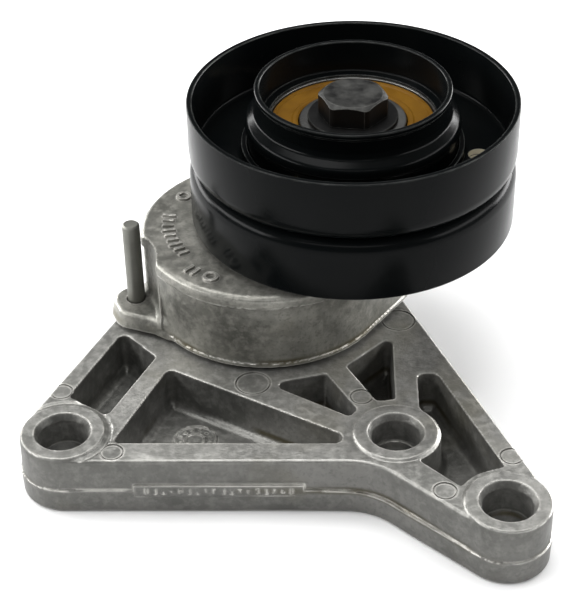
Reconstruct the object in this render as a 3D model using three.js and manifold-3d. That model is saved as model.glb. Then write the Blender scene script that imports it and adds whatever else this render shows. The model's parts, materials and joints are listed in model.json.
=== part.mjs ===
// Belt tensioner idler: a cast bracket, a sprung swing arm on a pivot shaft, and a smooth
// pressed-steel pulley on a wide ball bearing, with the lock pin that holds the arm for fitting.
// Millimetres, +Z up along the pivot. The origin is on the pivot axis at the bracket's flat underside.
import * as THREE from "three";
import { mergeVertices } from "three/addons/utils/BufferGeometryUtils.js";
import Module from "manifold-3d";

const wasm = await Module();
wasm.setup();

const RAD = Math.PI / 180;
const ROUND = 32; // facets round a turned piece
const WIDE_ROUND = 40; // round the pulley
const SMALL_ROUND = 20; // round a small hole or rod
const RUNNING_GAP = 0.1; // between faces that slide or turn on each other
const SEAT_GAP = 0.05; // between faces that are clamped together
const OVER = 2; // how far a cutting shape runs past the face that it opens

// ---- driving dimensions ----

// Bracket
const PLATE_TOP = 16.8;
const PARTING_Z = 7.2; // where the two die halves met
const PARTING_FLASH = 0.4; // how far the lower half stands out there
const BOSS_RISE = 0.6;
const BOSS_RADIUS = 11;
const PIVOT_ROUND = 36; // back of the bracket, round the pivot
const LEFT_HOLE = [-51.9, -59.4];
const MIDDLE_HOLE = [34.7, -59.4];
const RIGHT_HOLE = [61.4, -85.5];
const HOLE_RADIUS = 6.4;
const HOLE_CHAMFER = 1.6;
const HOLE_STEP_RADIUS = 4.8; // the middle hole is stepped near its foot
const HOLE_STEP_Z = 3;
const POCKET_FLOOR = 5;
const POCKET_BOSS_CLEARANCE = 12.4; // pockets stop this far from a hole's axis
const MIDDLE_POCKET_CLEARANCE = 13.7;
const SPRING_CUP_RADIUS = 30;
const SPRING_CUP_FLOOR = 5;
const BRACKET_HUB_RADIUS = 13;
const BRACKET_HUB_TOP = 15;
const MARK_DEPTH = 0.3; // ejector marks
const SHAFT_SEAT_FLOOR = 5;

// Swing arm
const GROOVE_SWEEP = 54; // degrees that the lock-pin groove leaves clear, past the arm's swing and the pin
const ARM_BOTTOM = 18.1;
const ARM_TOP = 42.2;
const DRUM_BOTTOM_RADIUS = 33.4;
const DRUM_BAND_RADIUS = 34.6;
const DRUM_TOP_RADIUS = 35.2;
const BAND_HEIGHT = 3.6;
const ARM_CAVITY_RADIUS = 29.3;
const ARM_CAVITY_TOP = 35.5;
const ARM_HUB_RADIUS = 13;
const PULLEY_AXIS = [24, 6.3];
const ARM_END_RADIUS = 17;
const POST_RADIUS = 12.5;
const POST_TOP = 51;
const CAP_RECESS_RADIUS = 11.4;
const CAP_RECESS_FLOOR = 37.9;
const SHAFT_PRESS_RADIUS = 8;
const SHAFT_RADIUS = 7;
const SHAFT_NECK_RADIUS = 5;
const BUSH_RADIUS = 9;
const SPRING_RADIUS = 22.5;
const SPRING_WIRE_RADIUS = 2.4;
const SPRING_TURNS = 4;
const SPRING_END_GAP = 0.4;
const THRUST_WASHER_THICKNESS = 1.7;
const THRUST_WASHER_RADIUS = 12.2;
const FLANGE_THICKNESS = 1.2;
const LOWER_BUSH_TOP = 26.5;
const UPPER_BUSH_BOTTOM = 28;
const END_PLATE_THICKNESS = 1.6;
const END_PLATE_RADIUS = 10.6;
const RIVET_OVERHANG = 1.6;
const SHAFT_CHAMFER = 0.6;
const DAMPING_RING = [25.7, 28.9, 8, 31]; // inner and outer radius, bottom, top
const PAD = [31, 172, 213]; // the pad on the drum's wall: inner radius, start and end in degrees

// Lock pin and its lug
const PIN_AT = [-37, -7.3];
const PIN_RADIUS = 2.45;
const PIN_TIP = 9.6;
const PIN_TOP = 47.5;
const LUG_RADIUS = 6.3;
const LUG_TOP = 22.4;
const LUG_BOTTOM = 17.9;
const LUG_HOLE_RADIUS = 2.75;
const RELIEF_AT = [-46.4, -17.1];
const RELIEF_RADIUS = 17.3;
const GROOVE_FLOOR = 9;
const GROOVE_CLEARANCE = 0.6;
const GROOVE_OUTSIDE = 2; // the groove runs this much further out than the pin
const LUG_ROOT = [-27.5, -12.5, 5];

// Pulley
const PULLEY_MID = 61.8;
const PULLEY_HALF_WIDTH = 17.6;
const PULLEY_RADIUS = 45;
const SHEET = 1.6;
const SHOULDER_RADIUS = 3;
const SHELL_BORE = 29;
const COLLAR_HEIGHT = 4.5;
const WEB_HOLE_RADIUS = 3;
const WEB_HOLE_CIRCLE = 34.6;
const WEB_HOLE_START = -7;
const WEB_HOLES = 3;
const HUB_RADIUS = 28.8;
const BEAD_RADIUS = 29.4;
const NECK_RADIUS = 26.7;
const NECK_BORE = 25.2;
const NECK_TOP = 82.7;
const BEARING_SEAT_GAP = 0.2;
const HALVES_GAP = 0.1; // from the pulley's middle plane to each half

// Bearing, 20 x 52 x 21
const BEARING_BORE = 10;
const BEARING_RADIUS = 26;
const BEARING_BOTTOM = 51.7;
const BEARING_WIDTH = 21;
const PITCH_RADIUS = 18;
const BALL_RADIUS = 4.7625;
const BALL_COUNT = 7;
const RACE_GROOVE_RADIUS = 5;
const INNER_SHOULDER = 14.5;
const OUTER_SHOULDER = 21.4;
const SEAL_RADIUS = 22.2;
const SEAL_GROOVE_RADIUS = 22.5;
const SEAL_SEAT = 2;
const SEAL_THICKNESS = 1.1;
const SEAL_SET_BACK = 0.3;
const CAGE_RADII = [16.4, 19.6];
const CAGE_REACH = 6;
const CAGE_BALL_GAP = 0.4;
const SHIELD_RADIUS = 23;

// Pulley bolt, M10
const BOLT_SHANK_RADIUS = 4.9;
const BOLT_HEAD_FLATS = 17;
const BOLT_HEAD_HEIGHT = 6.4;
const BOLT_HEAD_TURN = -8;
const BOLT_CROWN_DROP = 1.4;
const WASHER_RADIUS = 12.3;
const WASHER_THICKNESS = 1.2;
const BOLT_TIP = 38;

// ---- materials ----

const material = (color, roughness, metalness) =>
  new THREE.MeshStandardMaterial({ color, roughness, metalness });
const castAluminium = material(0x8d8c86, 0.55, 0.8);
const armAluminium = material(0x86857e, 0.5, 0.8);
const blackSteel = material(0x101112, 0.35, 0.4);
const blackBolt = material(0x161616, 0.5, 0.6);
const brightSteel = material(0xa8a8a6, 0.3, 1);
const pinSteel = material(0x4a4a48, 0.45, 0.8);
const springSteel = material(0x3a3a3c, 0.4, 0.9);
const ochreSeal = material(0xa06a1c, 0.6, 0);
const brassCage = material(0xb08d4f, 0.4, 0.9);
const polymer = material(0xc9c4b4, 0.6, 0);

// ---- solids: closed geometries joined and cut ----

// A geometry as a solid. A turned or lofted surface that came out facing inwards is turned round.
function solid(geometry) {
  const bare = geometry.clone();
  bare.deleteAttribute("normal");
  bare.deleteAttribute("uv");
  const merged = mergeVertices(bare, 1e-4);
  const triVerts = new Uint32Array(merged.index.array);
  const vertProperties = merged.attributes.position.array;
  const made = new wasm.Manifold(new wasm.Mesh({ numProp: 3, vertProperties, triVerts }));
  if (made.volume() > 0) return made;
  for (let i = 0; i < triVerts.length; i += 3) {
    [triVerts[i + 1], triVerts[i + 2]] = [triVerts[i + 2], triVerts[i + 1]];
  }
  return new wasm.Manifold(new wasm.Mesh({ numProp: 3, vertProperties, triVerts }));
}

function mesh(name, body, look) {
  const { vertProperties, triVerts } = body.getMesh();
  const geometry = new THREE.BufferGeometry();
  geometry.setAttribute("position", new THREE.BufferAttribute(vertProperties, 3));
  geometry.setIndex(new THREE.BufferAttribute(triVerts, 1));
  geometry.computeVertexNormals();
  const made = new THREE.Mesh(geometry, look);
  made.name = name;
  return made;
}

// A closed loop of [radius, z] points turned about the Z axis, or about a parallel axis through at.
function turned(profile, facets = ROUND, at = [0, 0]) {
  const points = [...profile, profile[0]].map(([r, z]) => new THREE.Vector2(r, z));
  const lathe = new THREE.LatheGeometry(points, facets);
  return solid(lathe.rotateX(Math.PI / 2).translate(at[0], at[1], 0));
}

// A plain ring, or a disc when the inner radius is 0.
function ring(inner, outer, bottom, top, facets = ROUND, at = [0, 0]) {
  if (inner > 0) return turned([[inner, bottom], [outer, bottom], [outer, top], [inner, top]], facets, at);
  const cylinder = new THREE.CylinderGeometry(outer, outer, top - bottom, facets);
  return solid(cylinder.rotateX(Math.PI / 2).translate(at[0], at[1], (top + bottom) / 2));
}

const disc = (radius, bottom, top, at, facets = ROUND) => ring(0, radius, bottom, top, facets, at);

function extruded(shape, bottom, top, curveSegments = 6) {
  const settings = { depth: top - bottom, bevelEnabled: false, curveSegments };
  return solid(new THREE.ExtrudeGeometry(shape, settings).translate(0, 0, bottom));
}

// A cone frustum that opens upwards, for the chamfer of a hole.
function chamfer(at, radius, depth, top) {
  const over = 0.5;
  const cone = new THREE.CylinderGeometry(radius + depth + over, radius, depth + over, ROUND);
  return solid(cone.rotateX(Math.PI / 2).translate(at[0], at[1], top + over - (depth + over) / 2));
}

// ---- outlines ----

// The outline that runs round circles [x, y, radius] like a belt, counter-clockwise. A negative
// radius is a circle that the belt passes on its outside, which makes a hollow curve.
function beltOutline(circles, offset = 0) {
  const shape = new THREE.Shape();
  const count = circles.length;
  const normalTo = (from, to) => {
    const [dx, dy] = [to[0] - from[0], to[1] - from[1]];
    return Math.atan2(dy, dx) - Math.acos((from[2] - to[2]) / Math.hypot(dx, dy));
  };
  circles.forEach(([x, y, radius], i) => {
    const before = circles[(i + count - 1) % count];
    const after = circles[(i + 1) % count];
    const hollow = radius < 0;
    const turn = hollow ? Math.PI : 0;
    shape.absarc(x, y, Math.abs(radius + offset), normalTo(before, circles[i]) + turn,
      normalTo(circles[i], after) + turn, hollow);
  });
  shape.closePath();
  return shape;
}

// A polygon whose corners [x, y, fillet radius] are rounded.
function filletedPolygon(corners) {
  const shape = new THREE.Shape();
  const count = corners.length;
  corners.forEach(([x, y, radius], i) => {
    const corner = new THREE.Vector2(x, y);
    const toward = (other) => new THREE.Vector2(other[0], other[1]).sub(corner).normalize();
    const back = toward(corners[(i + count - 1) % count]);
    const ahead = toward(corners[(i + 1) % count]);
    const half = Math.acos(THREE.MathUtils.clamp(back.dot(ahead), -1, 1)) / 2;
    const start = corner.clone().addScaledVector(back, radius / Math.tan(half));
    const end = corner.clone().addScaledVector(ahead, radius / Math.tan(half));
    const middle = back.clone().add(ahead).normalize().multiplyScalar(radius / Math.sin(half)).add(corner);
    const clockwise = back.clone().cross(ahead) > 0;
    shape.absarc(middle.x, middle.y, radius, Math.atan2(start.y - middle.y, start.x - middle.x),
      Math.atan2(end.y - middle.y, end.x - middle.x), clockwise);
  });
  shape.closePath();
  return shape;
}

// A sector of a ring about the pivot, between two angles in degrees.
function sector(inner, outer, from, to) {
  const shape = new THREE.Shape();
  shape.absarc(0, 0, outer, from * RAD, to * RAD, false);
  shape.absarc(0, 0, inner, to * RAD, from * RAD, true);
  shape.closePath();
  return shape;
}

// ---- bracket and what is fixed to it ----

const BRACKET_CIRCLES = [
  [0, 0, PIVOT_ROUND],
  [-51.6, -59, 11.8],
  [21.7, -88.6, -18],
  [RIGHT_HOLE[0], RIGHT_HOLE[1], 11.1],
];

const POCKETS = [
  { // between the left edge and the rib to the left boss
    corners: [[-40.5, -15.9, 2], [-52.2, -44.2, 1.5], [-41.3, -52.8, 2], [-30.2, -27.2, 1.5]],
    clear: [[LEFT_HOLE, POCKET_BOSS_CLEARANCE]],
  },
  { // the long one behind the front edge
    corners: [[-26.4, -32.4, 2], [-38.8, -63.3, 1.5], [26.8, -63.2, 2.2]],
    clear: [[LEFT_HOLE, POCKET_BOSS_CLEARANCE]],
  },
  { // left of the rib to the middle boss
    corners: [[1.1, -39, 2], [28.6, -56.3, 1], [16.6, -34.6, 1]],
    clear: [[MIDDLE_HOLE, MIDDLE_POCKET_CLEARANCE]],
  },
  { // right of that rib
    corners: [[34.9, -17.7, 1.6], [22.1, -31.3, 1], [32.5, -51, 1], [35.1, -51, 1]],
    clear: [[MIDDLE_HOLE, MIDDLE_POCKET_CLEARANCE]],
  },
  { // between the middle and the right boss
    corners: [[41.2, -34.6, 2.4], [41.2, -62, 1], [39.2, -68.9, 1], [50.6, -80, 1.5], [61.7, -72.2, 1.2],
      [46.7, -34.6, 2.4]],
    clear: [[MIDDLE_HOLE, 11.6], [RIGHT_HOLE, POCKET_BOSS_CLEARANCE]],
  },
];

const EJECTOR_MARKS = [
  { radius: 4.6, places: [[-3.1, -38.8], [37, -10.6]] },
  { radius: 2.9, places: [[-54.4, -42.3], [-38.4, -66.8], [26, -44.5], [46.1, -81.2], [63.8, -68.3]] },
];

// The way that the lock pin's tip needs as the arm swings: a groove on the side it swings to.
function pinGroove() {
  const circle = Math.hypot(PIN_AT[0], PIN_AT[1]);
  const angle = Math.atan2(PIN_AT[1], PIN_AT[0]) / RAD + 360;
  const half = PIN_RADIUS + GROOVE_CLEARANCE;
  const top = PLATE_TOP + OVER;
  const swept = sector(circle - half, circle + half + GROOVE_OUTSIDE, angle - GROOVE_SWEEP, angle);
  return extruded(swept, GROOVE_FLOOR, top, 8).add(disc(half, GROOVE_FLOOR, top, PIN_AT, SMALL_ROUND));
}

function bracket() {
  const above = PLATE_TOP + OVER;
  let body = extruded(beltOutline(BRACKET_CIRCLES), 0, PLATE_TOP)
    .add(extruded(beltOutline(BRACKET_CIRCLES, PARTING_FLASH), 0, PARTING_Z));
  for (const hole of [LEFT_HOLE, MIDDLE_HOLE, RIGHT_HOLE]) {
    body = body.add(disc(BOSS_RADIUS, PARTING_Z, PLATE_TOP + BOSS_RISE, hole));
  }
  for (const pocket of POCKETS) {
    let cut = extruded(filletedPolygon(pocket.corners), POCKET_FLOOR, above, 2);
    for (const [hole, radius] of pocket.clear) cut = cut.subtract(disc(radius, 0, above + 1, hole));
    body = body.subtract(cut);
  }
  for (const hole of [LEFT_HOLE, MIDDLE_HOLE, RIGHT_HOLE]) {
    const stepped = hole === MIDDLE_HOLE;
    body = body.subtract(disc(HOLE_RADIUS, stepped ? HOLE_STEP_Z : -OVER, above, hole))
      .subtract(chamfer(hole, HOLE_RADIUS, HOLE_CHAMFER, PLATE_TOP + BOSS_RISE));
    if (stepped) body = body.subtract(disc(HOLE_STEP_RADIUS, -OVER, above, hole));
  }
  for (const { radius, places } of EJECTOR_MARKS) {
    for (const at of places) {
      body = body.subtract(disc(radius, PLATE_TOP - MARK_DEPTH, above, at, SMALL_ROUND));
    }
  }
  return body.subtract(disc(SPRING_CUP_RADIUS, SPRING_CUP_FLOOR, above, [0, 0]))
    .add(disc(BRACKET_HUB_RADIUS, SPRING_CUP_FLOOR - 1, BRACKET_HUB_TOP, [0, 0]))
    .subtract(disc(SHAFT_PRESS_RADIUS + RUNNING_GAP, SHAFT_SEAT_FLOOR, above, [0, 0]))
    .subtract(pinGroove());
}

const THRUST_WASHER_TOP = BRACKET_HUB_TOP + THRUST_WASHER_THICKNESS;
const BUSH_FLANGE_TOP = THRUST_WASHER_TOP + FLANGE_THICKNESS;
const UPPER_BUSH_TOP = CAP_RECESS_FLOOR + RUNNING_GAP + FLANGE_THICKNESS;
const END_PLATE_BOTTOM = UPPER_BUSH_TOP + RUNNING_GAP;
const END_PLATE_TOP = END_PLATE_BOTTOM + END_PLATE_THICKNESS;
const SHAFT_TOP = ARM_TOP - 2 * RUNNING_GAP;

function pivotShaft() {
  const foot = SHAFT_SEAT_FLOOR + RUNNING_GAP;
  const rivetRadius = SHAFT_NECK_RADIUS + RIVET_OVERHANG;
  return turned([[0, foot], [SHAFT_PRESS_RADIUS - SHAFT_CHAMFER, foot],
    [SHAFT_PRESS_RADIUS, foot + SHAFT_CHAMFER], [SHAFT_PRESS_RADIUS, BRACKET_HUB_TOP],
    [SHAFT_RADIUS, BRACKET_HUB_TOP], [SHAFT_RADIUS, UPPER_BUSH_TOP], [SHAFT_NECK_RADIUS, UPPER_BUSH_TOP],
    [SHAFT_NECK_RADIUS, END_PLATE_TOP + RUNNING_GAP], [rivetRadius, END_PLATE_TOP + RUNNING_GAP],
    [rivetRadius - SHAFT_CHAMFER, SHAFT_TOP], [0, SHAFT_TOP]]);
}

// Round wire wound on a helix, its ends cut square.
function torsionSpring() {
  const bottom = SPRING_CUP_FLOOR + SPRING_WIRE_RADIUS + SPRING_END_GAP;
  const top = ARM_CAVITY_TOP - SPRING_WIRE_RADIUS - 2 * SPRING_END_GAP;
  const steps = SPRING_TURNS * 14;
  const points = [];
  for (let i = 0; i <= steps; i++) {
    const angle = 2 * Math.PI * SPRING_TURNS * i / steps;
    const z = bottom + (top - bottom) * i / steps;
    points.push(new THREE.Vector3(SPRING_RADIUS * Math.cos(angle), SPRING_RADIUS * Math.sin(angle), z));
  }
  const wire = new THREE.Shape();
  wire.absarc(0, 0, SPRING_WIRE_RADIUS, 0, 2 * Math.PI, false);
  const path = new THREE.CatmullRomCurve3(points);
  const settings = { steps, curveSegments: 4, extrudePath: path };
  return solid(new THREE.ExtrudeGeometry(wire, settings));
}

// ---- swing arm ----

// The arm's outline at one height: the drum's circle and the pulley end's circle, with a belt round both.
const armOutline = (drumRadius) => beltOutline([[0, 0, drumRadius], [...PULLEY_AXIS, ARM_END_RADIUS]]);

// The arm's outside between two heights, tapering from one outline to the other.
function taperedArm(bottomRadius, bottom, topRadius, top) {
  const [low, high] = [bottomRadius, topRadius].map((radius) => armOutline(radius).getPoints(20));
  const count = low.length - 1; // the last point repeats the first
  const vertices = [];
  low.slice(0, count).forEach((p) => vertices.push(p.x, p.y, bottom));
  high.slice(0, count).forEach((p) => vertices.push(p.x, p.y, top));
  const faces = [];
  for (let i = 0; i < count; i++) {
    const next = (i + 1) % count;
    faces.push(i, next, count + next, i, count + next, count + i);
  }
  for (const [a, b, c] of THREE.ShapeUtils.triangulateShape(low.slice(0, count), [])) faces.push(a, c, b);
  for (const [a, b, c] of THREE.ShapeUtils.triangulateShape(high.slice(0, count), [])) {
    faces.push(count + a, count + b, count + c);
  }
  const geometry = new THREE.BufferGeometry();
  geometry.setAttribute("position", new THREE.Float32BufferAttribute(vertices, 3));
  geometry.setIndex(faces);
  return solid(geometry);
}

const lugBody = () => extruded(beltOutline([[...PIN_AT, LUG_RADIUS], LUG_ROOT]), LUG_BOTTOM, LUG_TOP);

function armCasting() {
  const bandBottom = ARM_TOP - BAND_HEIGHT;
  const under = ARM_BOTTOM - OVER;
  const over = ARM_TOP + OVER;
  const [padInner, padFrom, padTo] = PAD;
  const body = taperedArm(DRUM_BOTTOM_RADIUS, ARM_BOTTOM, DRUM_BAND_RADIUS, bandBottom)
    .add(taperedArm(DRUM_TOP_RADIUS, bandBottom, DRUM_TOP_RADIUS, ARM_TOP))
    .add(extruded(sector(padInner, DRUM_BAND_RADIUS, padFrom, padTo), ARM_BOTTOM, bandBottom, 4))
    .add(lugBody())
    .add(disc(POST_RADIUS, ARM_TOP - 1, POST_TOP, PULLEY_AXIS));
  const relief = disc(RELIEF_RADIUS, LUG_TOP, over, RELIEF_AT);
  return body.subtract(relief)
    .subtract(ring(ARM_HUB_RADIUS, ARM_CAVITY_RADIUS, under, ARM_CAVITY_TOP))
    .subtract(disc(ARM_HUB_RADIUS + 1, under, BUSH_FLANGE_TOP + 0.4, [0, 0]))
    .subtract(disc(BUSH_RADIUS + RUNNING_GAP, under, over, [0, 0]))
    .subtract(disc(CAP_RECESS_RADIUS, CAP_RECESS_FLOOR, over, [0, 0]))
    .subtract(disc(LUG_HOLE_RADIUS, under, LUG_TOP + OVER, PIN_AT, SMALL_ROUND))
    .subtract(disc(BOLT_SHANK_RADIUS + RUNNING_GAP, BOLT_TIP - 0.5, POST_TOP + OVER, PULLEY_AXIS,
      SMALL_ROUND));
}

function lockPin() {
  const nose = 0.4;
  return turned([[0, PIN_TIP], [PIN_RADIUS - nose, PIN_TIP], [PIN_RADIUS, PIN_TIP + nose],
    [PIN_RADIUS, PIN_TOP - nose], [PIN_RADIUS - nose, PIN_TOP], [0, PIN_TOP]], SMALL_ROUND, PIN_AT);
}

// A bush: a sleeve on the shaft, with a flange between two heights.
const bush = (bottom, top, flangeBottom, flangeTop, flangeRadius) =>
  ring(SHAFT_RADIUS + RUNNING_GAP, BUSH_RADIUS, bottom, top)
    .add(ring(SHAFT_RADIUS + RUNNING_GAP, flangeRadius, flangeBottom, flangeTop));

const BEARING_TOP = BEARING_BOTTOM + BEARING_WIDTH;
const BEARING_MID = (BEARING_BOTTOM + BEARING_TOP) / 2;
const SHIELD_BOTTOM = POST_TOP + SEAT_GAP;
const WASHER_BOTTOM = BEARING_TOP + SEAT_GAP;
const HEAD_BOTTOM = WASHER_BOTTOM + WASHER_THICKNESS + SEAT_GAP;

function pulleyBolt() {
  const corner = BOLT_HEAD_FLATS / 2 / Math.cos(30 * RAD);
  const hexagon = new THREE.Shape();
  for (let i = 0; i < 6; i++) {
    const angle = (BOLT_HEAD_TURN + 60 * i) * RAD;
    const point = [corner * Math.cos(angle), corner * Math.sin(angle)];
    if (i) hexagon.lineTo(...point);
    else hexagon.moveTo(...point);
  }
  const top = HEAD_BOTTOM + BOLT_HEAD_HEIGHT;
  const crown = turned([[0, HEAD_BOTTOM - 1], [corner + 1, HEAD_BOTTOM - 1],
    [corner + 1, top - BOLT_CROWN_DROP], [BOLT_HEAD_FLATS / 2 - 0.3, top], [0, top]]);
  const head = extruded(hexagon, HEAD_BOTTOM, top).intersect(crown);
  return head.add(disc(BOLT_SHANK_RADIUS, BOLT_TIP, HEAD_BOTTOM + 1, [0, 0], SMALL_ROUND));
}

// ---- pulley ----

const arc = (r, z, radius, from, to, steps = 4) => Array.from({ length: steps + 1 }, (_, i) => {
  const angle = (from + (to - from) * i / steps) * RAD;
  return [r + radius * Math.cos(angle), z + radius * Math.sin(angle)];
});

// One pressed half, for side +1 above the pulley's middle plane or -1 below it.
function shell(side) {
  const inner = 1.2; // the bend's inner radius at the collar
  const outer = 2;
  const web = HALVES_GAP + SHEET;
  const shoulder = [PULLEY_RADIUS - SHOULDER_RADIUS, HALVES_GAP + SHOULDER_RADIUS];
  const collar = [SHELL_BORE + SHEET + inner, web + inner];
  const outside = [[SHELL_BORE, COLLAR_HEIGHT],
    ...arc(SHELL_BORE + outer, HALVES_GAP + outer, outer, 180, 270, 2),
    ...arc(...shoulder, SHOULDER_RADIUS, 270, 360, 4)];
  const inside = [[PULLEY_RADIUS, PULLEY_HALF_WIDTH], [PULLEY_RADIUS - SHEET, PULLEY_HALF_WIDTH],
    ...arc(...shoulder, SHOULDER_RADIUS - SHEET, 360, 270, 2), ...arc(...collar, inner, 270, 180, 2),
    [SHELL_BORE + SHEET, COLLAR_HEIGHT]];
  let body = turned([...outside, ...inside].map(([r, z]) => [r, side * z]), WIDE_ROUND);
  for (let i = 0; i < WEB_HOLES; i++) {
    const angle = (WEB_HOLE_START + 360 * i / WEB_HOLES) * RAD;
    const at = [WEB_HOLE_CIRCLE * Math.cos(angle), WEB_HOLE_CIRCLE * Math.sin(angle)];
    body = body.subtract(disc(WEB_HOLE_RADIUS, -COLLAR_HEIGHT, COLLAR_HEIGHT, at, 12));
  }
  return body;
}

// The drawn hub: it holds the bearing, and narrows over a rolled bead to the raised neck.
function hubCup() {
  const beadZ = BEARING_TOP - 0.3;
  const lip = (NECK_RADIUS - NECK_BORE) / 2;
  const seat = BEARING_RADIUS + BEARING_SEAT_GAP;
  const foot = BEARING_BOTTOM - SHEET;
  return turned([[seat - 1, foot], [HUB_RADIUS - 0.5, foot], [HUB_RADIUS, foot + 0.5],
    [HUB_RADIUS, beadZ - 1.6], [BEAD_RADIUS, beadZ - 0.7], ...arc(BEAD_RADIUS - 1.2, beadZ, 1.2, 0, 70, 2),
    [NECK_RADIUS + 0.5, beadZ + 1.7], [NECK_RADIUS, beadZ + 2.6],
    ...arc(NECK_RADIUS - lip, NECK_TOP - lip, lip, 0, 180, 4), [NECK_BORE, BEARING_TOP + 0.05],
    [seat, BEARING_TOP + 0.05], [seat, BEARING_BOTTOM - 0.1], [seat - 1, BEARING_BOTTOM - 0.5]], WIDE_ROUND);
}

// ---- bearing ----

function outerRing() {
  const groove = arc(PITCH_RADIUS, BEARING_MID, RACE_GROOVE_RADIUS, -47, 47, 4);
  const edge = 0.5;
  return turned([[SEAL_GROOVE_RADIUS, BEARING_BOTTOM], [BEARING_RADIUS - edge, BEARING_BOTTOM],
    [BEARING_RADIUS, BEARING_BOTTOM + edge], [BEARING_RADIUS, BEARING_TOP - edge],
    [BEARING_RADIUS - edge, BEARING_TOP], [SEAL_GROOVE_RADIUS, BEARING_TOP],
    [SEAL_GROOVE_RADIUS, BEARING_TOP - SEAL_SEAT], [OUTER_SHOULDER, BEARING_TOP - SEAL_SEAT],
    ...groove.reverse(), [OUTER_SHOULDER, BEARING_BOTTOM + SEAL_SEAT],
    [SEAL_GROOVE_RADIUS, BEARING_BOTTOM + SEAL_SEAT]]);
}

function innerRing() {
  const groove = arc(PITCH_RADIUS, BEARING_MID, RACE_GROOVE_RADIUS, 133, 227, 4);
  return turned([[BEARING_BORE, BEARING_BOTTOM], [INNER_SHOULDER, BEARING_BOTTOM], ...groove.reverse(),
    [INNER_SHOULDER, BEARING_TOP], [BEARING_BORE, BEARING_TOP]]);
}

const seal = (bottom) => ring(INNER_SHOULDER + 0.4, SEAL_RADIUS, bottom, bottom + SEAL_THICKNESS);

const ballPlace = (i) => {
  const angle = 2 * Math.PI * i / BALL_COUNT;
  return [PITCH_RADIUS * Math.cos(angle), PITCH_RADIUS * Math.sin(angle), BEARING_MID];
};

const ballSolid = (i, radius, facets) =>
  solid(new THREE.SphereGeometry(radius, facets, facets * 0.7).translate(...ballPlace(i)));

// Half of the cage, above (side +1) or below the plane of the balls, with its ball pockets.
function cageHalf(side) {
  const [near, far] = [RUNNING_GAP, CAGE_REACH].map((height) => BEARING_MID + side * height);
  let body = ring(...CAGE_RADII, Math.min(near, far), Math.max(near, far));
  for (let i = 0; i < BALL_COUNT; i++) body = body.subtract(ballSolid(i, BALL_RADIUS + CAGE_BALL_GAP, 10));
  return body;
}

// ---- assembly ----

const tensioner = new THREE.Group();
tensioner.add(mesh("bracket", bracket(), castAluminium));
tensioner.add(mesh("pivot_shaft", pivotShaft(), brightSteel));
tensioner.add(mesh("torsion_spring", torsionSpring(), springSteel));
tensioner.add(mesh("thrust_washer", ring(SHAFT_RADIUS + RUNNING_GAP, THRUST_WASHER_RADIUS,
  BRACKET_HUB_TOP + SEAT_GAP, THRUST_WASHER_TOP - SEAT_GAP), brightSteel));
tensioner.add(mesh("end_plate", ring(SHAFT_NECK_RADIUS + RUNNING_GAP, END_PLATE_RADIUS, END_PLATE_BOTTOM,
  END_PLATE_TOP), brightSteel));

const arm = new THREE.Group();
tensioner.add(arm);
arm.add(mesh("arm_casting", armCasting(), armAluminium));
arm.add(mesh("lower_bush", bush(THRUST_WASHER_TOP, LOWER_BUSH_TOP, THRUST_WASHER_TOP, BUSH_FLANGE_TOP,
  THRUST_WASHER_RADIUS), polymer));
arm.add(mesh("upper_bush", bush(UPPER_BUSH_BOTTOM, UPPER_BUSH_TOP, CAP_RECESS_FLOOR + RUNNING_GAP,
  UPPER_BUSH_TOP, END_PLATE_RADIUS), polymer));
arm.add(mesh("damping_ring", ring(...DAMPING_RING), polymer));
arm.add(mesh("lock_pin", lockPin(), pinSteel));

const onPulleyAxis = new THREE.Group();
onPulleyAxis.position.set(PULLEY_AXIS[0], PULLEY_AXIS[1], 0);
arm.add(onPulleyAxis);
onPulleyAxis.add(mesh("rear_dust_shield", ring(BEARING_BORE + RUNNING_GAP, SHIELD_RADIUS,
  SHIELD_BOTTOM, BEARING_BOTTOM - SEAT_GAP), brightSteel));
onPulleyAxis.add(mesh("bearing_sleeve", ring(BOLT_SHANK_RADIUS + RUNNING_GAP, BEARING_BORE - RUNNING_GAP,
  SHIELD_BOTTOM, BEARING_TOP), brightSteel));
onPulleyAxis.add(mesh("bearing_inner_ring", innerRing(), brightSteel));
onPulleyAxis.add(mesh("bolt_washer", ring(BOLT_SHANK_RADIUS + 0.3, WASHER_RADIUS, WASHER_BOTTOM,
  WASHER_BOTTOM + WASHER_THICKNESS), blackBolt));
onPulleyAxis.add(mesh("pulley_bolt", pulleyBolt(), blackBolt));

const midPlane = new THREE.Group();
midPlane.position.z = PULLEY_MID;
onPulleyAxis.add(midPlane);
midPlane.add(mesh("upper_shell", shell(1), blackSteel));
midPlane.add(mesh("lower_shell", shell(-1), blackSteel));
onPulleyAxis.add(mesh("hub_cup", hubCup(), blackSteel));
onPulleyAxis.add(mesh("bearing_outer_ring", outerRing(), brightSteel));
onPulleyAxis.add(mesh("front_seal", seal(BEARING_TOP - SEAL_SET_BACK - SEAL_THICKNESS), ochreSeal));
onPulleyAxis.add(mesh("rear_seal", seal(BEARING_BOTTOM + SEAL_SET_BACK), ochreSeal));
onPulleyAxis.add(mesh("cage_upper", cageHalf(1), brassCage));
onPulleyAxis.add(mesh("cage_lower", cageHalf(-1), brassCage));
for (let i = 0; i < BALL_COUNT; i++) {
  onPulleyAxis.add(mesh(`ball_${i + 1}`, ballSolid(i, BALL_RADIUS, 10), brightSteel));
}

export default tensioner;
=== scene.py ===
import json
import math

import bmesh
import bpy
import numpy as np
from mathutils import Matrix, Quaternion, Vector


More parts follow.
